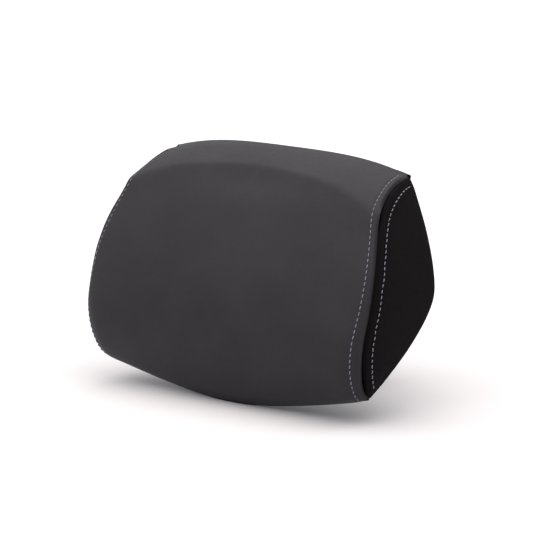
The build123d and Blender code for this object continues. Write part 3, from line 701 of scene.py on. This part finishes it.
leather_points = crowned_rows(seam, LEATHER_STEP)
back_points = back_grid()
mirrored = np.array((-1.0, 1.0, 1.0))
seam_lines = {"right": to_frame(seam[:, :3]), "left": to_frame(seam[:, :3] * mirrored)}
rear_lines = {"right": to_frame(rear_edge), "left": to_frame(rear_edge * mirrored)}
top_line = to_frame(leather_points[0])
bottom_line = to_frame(leather_points[-1])
pad_corners = [line[end] for line in seam_lines.values() for end in (0, -1)]

leather_face = mesh_from_grid("leather_face", to_frame(leather_points), flip=True)
inflate(leather_face, LEATHER_PRESSURE, LEATHER_CAP)
subdivide(leather_face, 2)
raise_crest(leather_face)
press_seams(
    leather_face,
    [(seam_lines["right"], True), (seam_lines["left"], True), (top_line, False), (bottom_line, False)],
)

side_faces = {}
for side, sign in (("right", 1.0), ("left", -1.0)):
    points = side_points if sign > 0 else side_points * mirrored
    panel = mesh_from_grid(f"fabric_side_{side}", to_frame(points), flip=sign > 0)
    inflate(panel, SIDE_PRESSURE, SIDE_CAP)
    subdivide(panel, 2)
    press_seams(panel, [(seam_lines[side], True), (rear_lines[side], False)])
    side_faces[side] = panel

back_face = mesh_from_grid("fabric_back", to_frame(back_points))
subdivide(back_face, 2)
press_seams(
    back_face,
    [(rear_lines["right"], False), (rear_lines["left"], False), (top_line, False), (bottom_line, False)],
)

stitches = []
for side, column in (("right", -3), ("left", 2)):
    leather_line = to_frame(leather_points[2:-2, column, :])
    stitches.append(stitch_row(f"leather_stitches_{side}", leather_face, leather_line))
    side_line = side_stitch_line(seam_lines[side])
    stitches.append(stitch_row(f"side_stitches_{side}", side_faces[side], side_line))

filling = mesh_from_grid("foam_filling", to_frame(leather_points[::30]))
close_ends(filling, to_frame(filling_rings()))

for panel in (leather_face, *side_faces.values(), back_face):
    thicken(panel, SHELL_THICKNESS)
for panel in (leather_face, *side_faces.values(), back_face, filling):
    shade_smooth(panel)
    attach(panel, "pad")
for row in stitches:
    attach(row, "pad")

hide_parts("leather_cover")
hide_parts("side_panel_right")
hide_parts("side_panel_left")
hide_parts("back_panel")
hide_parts("foam_core", "comfort_foam")

# ---- Finishes ------------------------------------------------------------------------------
side_fabric = fabric_finish("side_fabric", (0.0050, 0.0040, 0.0038), (0.0010, 0.0008, 0.0008))
back_fabric = fabric_finish("back_fabric", (0.0085, 0.0080, 0.0080), (0.0015, 0.0015, 0.0015))
thread = thread_finish()
paint(leather_face, leather_finish())
paint(side_faces["right"], side_fabric)
paint(side_faces["left"], side_fabric)
paint(back_face, back_fabric)
paint(filling, foam_finish())
for row in stitches:
    paint(row, thread)

black_plastic = plastic_finish("black_plastic", (0.012, 0.012, 0.013), (0.02, 0.02, 0.021), 0.5)
knob_plastic = plastic_finish("knob_plastic", (0.01, 0.01, 0.011), (0.017, 0.017, 0.018), 0.38, 900.0)
stop_plastic = plastic_finish("stop_plastic", (0.014, 0.014, 0.014), (0.024, 0.024, 0.024), 0.55)
board_plastic = plastic_finish("board_plastic", (0.03, 0.03, 0.03), (0.05, 0.05, 0.05), 0.6)
acetal = plastic_finish("natural_acetal", (0.52, 0.5, 0.45), (0.62, 0.6, 0.55), 0.35)
zinc = metal_finish("zinc_plated_steel", (0.38, 0.39, 0.41), (0.56, 0.57, 0.6), 0.32)
spring_steel = metal_finish("spring_steel", (0.14, 0.13, 0.12), (0.25, 0.23, 0.21), 0.38)
black_screw = metal_finish("black_oxide_steel", (0.025, 0.025, 0.027), (0.055, 0.055, 0.06), 0.36)
powder_coat = metal_finish("black_powder_coat", (0.012, 0.012, 0.012), (0.022, 0.022, 0.022), 0.48,
                           metallic=0.0, grain=1600.0)
cast_paint = metal_finish("painted_casting", (0.016, 0.016, 0.017), (0.028, 0.028, 0.03), 0.44,
                          metallic=0.0, grain=1100.0)
anodised = metal_finish("black_anodised", (0.028, 0.028, 0.03), (0.05, 0.05, 0.054), 0.34,
                        stretch=(1.0, 1.0, 0.04), grain=1500.0)
brass = metal_finish("turned_brass", (0.5, 0.36, 0.14), (0.68, 0.52, 0.24), 0.3)

NODE_FINISHES = {
    "carrier_board": board_plastic,
    "threaded_inserts": zinc,
    "hinge_bracket": powder_coat,
    "bracket_screws": black_screw,
    "rear_cover": black_plastic,
    "cover_screws": black_screw,
    "tilt_axle": zinc,
    "friction_washers": acetal,
    "disc_springs": spring_steel,
    "lock_nut": zinc,
    "hinge_bushes": acetal,
    "carriage_block": cast_paint,
    "glide_liners": acetal,
    "carriage_cap": black_plastic,
    "cap_screws": black_screw,
    "clamp_pad": brass,
    "clamp_stud": zinc,
    "clamp_knob": knob_plastic,
    "mounting_rail": anodised,
    "upper_end_stop": stop_plastic,
    "lower_end_stop": stop_plastic,
    "stop_screws": black_screw,
}
for node, finish in NODE_FINISHES.items():
    paint(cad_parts[node], finish)

# ---- Floor, light and camera ---------------------------------------------------------------
model_low, model_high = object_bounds()


def floor():
    """A wide pale floor at the object's lowest point."""
    mesh = bpy.data.meshes.new("floor")
    half = FLOOR_HALF_SIZE
    corners = [(-half, -half, 0), (half, -half, 0), (half, half, 0), (-half, half, 0)]
    mesh.from_pydata(corners, [], [(0, 1, 2, 3)])
    piece = bpy.data.objects.new("floor", mesh)
    bpy.context.scene.collection.objects.link(piece)
    piece.location.z = model_low.z
    finish = Finish("pale_floor")
    dust = finish.noise(8.0, 3.0)
    finish.colour(finish.ramp(dust, ((0.3, (FLOOR_TONE,) * 3), (0.7, (FLOOR_TONE * 1.02,) * 3))))
    finish.set(Roughness=1.0, Specular_IOR_Level=0.0)
    paint(piece, finish.material)


def overhead_light():
    """A wide soft light from above."""
    light = bpy.data.lights.new("overhead", "SUN")
    light.energy = OVERHEAD_STRENGTH
    light.color = OVERHEAD_COLOUR
    light.angle = math.radians(OVERHEAD_SOFTNESS)
    lamp = bpy.data.objects.new("overhead", light)
    bpy.context.scene.collection.objects.link(lamp)
    lamp.location = datum + Vector(OVERHEAD_FROM)
    lamp.rotation_euler = Vector(OVERHEAD_FROM).to_track_quat("Z", "Y").to_euler()


floor()
overhead_light()

world = bpy.data.worlds.new("studio")
world.use_nodes = True
world.node_tree.nodes["Background"].inputs["Color"].default_value = WORLD_COLOUR
world.node_tree.nodes["Background"].inputs["Strength"].default_value = WORLD_STRENGTH
bpy.context.scene.world = world
bpy.context.scene.view_settings.view_transform = "Standard"

azimuth = math.radians(CAMERA_AZIMUTH)
elevation = math.radians(CAMERA_ELEVATION)
towards_camera = Vector((
    math.sin(azimuth) * math.cos(elevation),
    -math.cos(azimuth) * math.cos(elevation),
    math.sin(elevation),
))
camera_data = bpy.data.cameras.new("camera")
camera_data.lens = CAMERA_LENS
camera_data.clip_end = 100.0
camera = bpy.data.objects.new("camera", camera_data)
bpy.context.scene.collection.objects.link(camera)
camera.location = datum + towards_camera * CAMERA_DISTANCE
camera.rotation_euler = (-towards_camera).to_track_quat("-Z", "Y").to_euler()
bpy.context.scene.camera = camera
